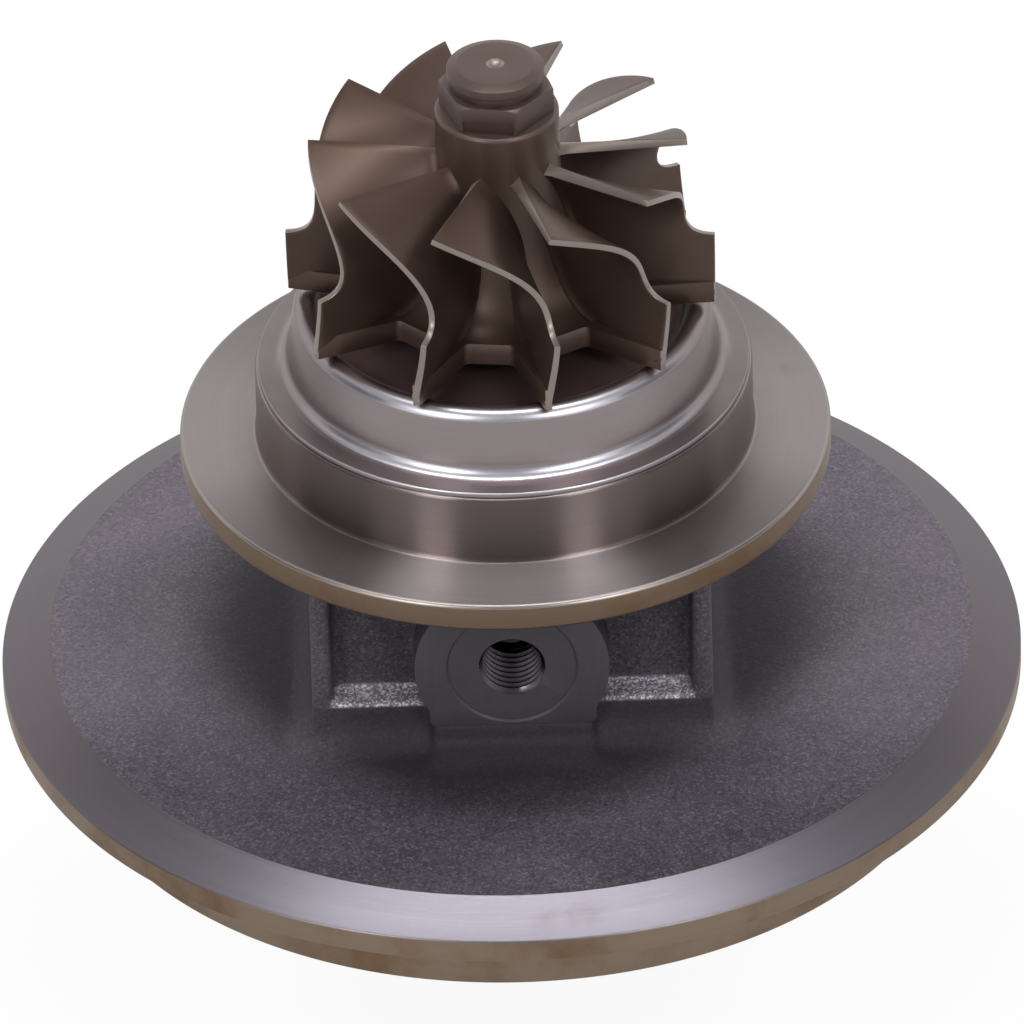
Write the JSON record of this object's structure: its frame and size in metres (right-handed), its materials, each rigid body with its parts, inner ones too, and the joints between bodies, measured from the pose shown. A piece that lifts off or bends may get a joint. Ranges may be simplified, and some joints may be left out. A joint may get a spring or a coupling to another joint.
{
  "type": "turbocharger cartridge",
  "caption": "Turbocharger centre cartridge: bladed turbine wheel and compressor wheel on one shaft in a cast bearing housing with oil inlet, drain and wide compressor-side disc.",
  "frame": {"origin": "on the rotor axis, in the plane of the large disc's underside, where the compressor cover seats", "axes": "+Z along the rotor axis towards the turbine wheel, -Y towards the oil inlet"},
  "size_m": [0.18, 0.18, 0.1818],
  "materials": {
    "housing_iron": "sand-cast, with turned rim, flange and pilot",
    "shield_steel": "pressed sheet, satin",
    "wheel_alloy": "investment-cast, matt brown, ground edges",
    "shaft_steel": "ground",
    "bearing_bronze": "turned",
    "light_alloy": "cast and machined, satin",
    "o_ring_rubber": "moulded, matt"
  },
  "bodies": {
    "housing": {"bearing_housing": "housing_iron", "heat_shield": "shield_steel", "turbine_piston_ring": "shaft_steel", "compressor_piston_ring": "shaft_steel", "bearing_circlip_1": "shaft_steel", "bearing_circlip_2": "shaft_steel", "bearing_circlip_3": "shaft_steel", "bearing_circlip_4": "shaft_steel", "thrust_bearing": "bearing_bronze", "thrust_pin_left": "shaft_steel", "thrust_pin_right": "shaft_steel", "oil_baffle": "shield_steel", "oil_seal_plate": "light_alloy", "seal_plate_o_ring": "o_ring_rubber", "seal_plate_snap_ring": "shaft_steel"},
    "rotor": {"turbine_wheel": "wheel_alloy", "rotor_shaft": "shaft_steel", "thrust_collar": "shaft_steel", "oil_slinger": "shaft_steel", "compressor_wheel": "light_alloy", "compressor_locknut": "shaft_steel"},
    "turbine_end_bearing": {"journal_bearing_turbine_end": "bearing_bronze"},
    "compressor_end_bearing": {"journal_bearing_compressor_end": "bearing_bronze"}
  },
  "joints": [
    {"name": "rotor_spin", "type": "hinge", "parent": "housing", "child": "rotor", "pos_m": [0, 0, 0], "axis": [0, 0, 1], "continuous": true},
    {"name": "turbine_end_bearing_spin", "type": "hinge", "parent": "housing", "child": "turbine_end_bearing", "pos_m": [0, 0, 0], "axis": [0, 0, 1], "continuous": true},
    {"name": "compressor_end_bearing_spin", "type": "hinge", "parent": "housing", "child": "compressor_end_bearing", "pos_m": [0, 0, 0], "axis": [0, 0, 1], "continuous": true}
  ]
}
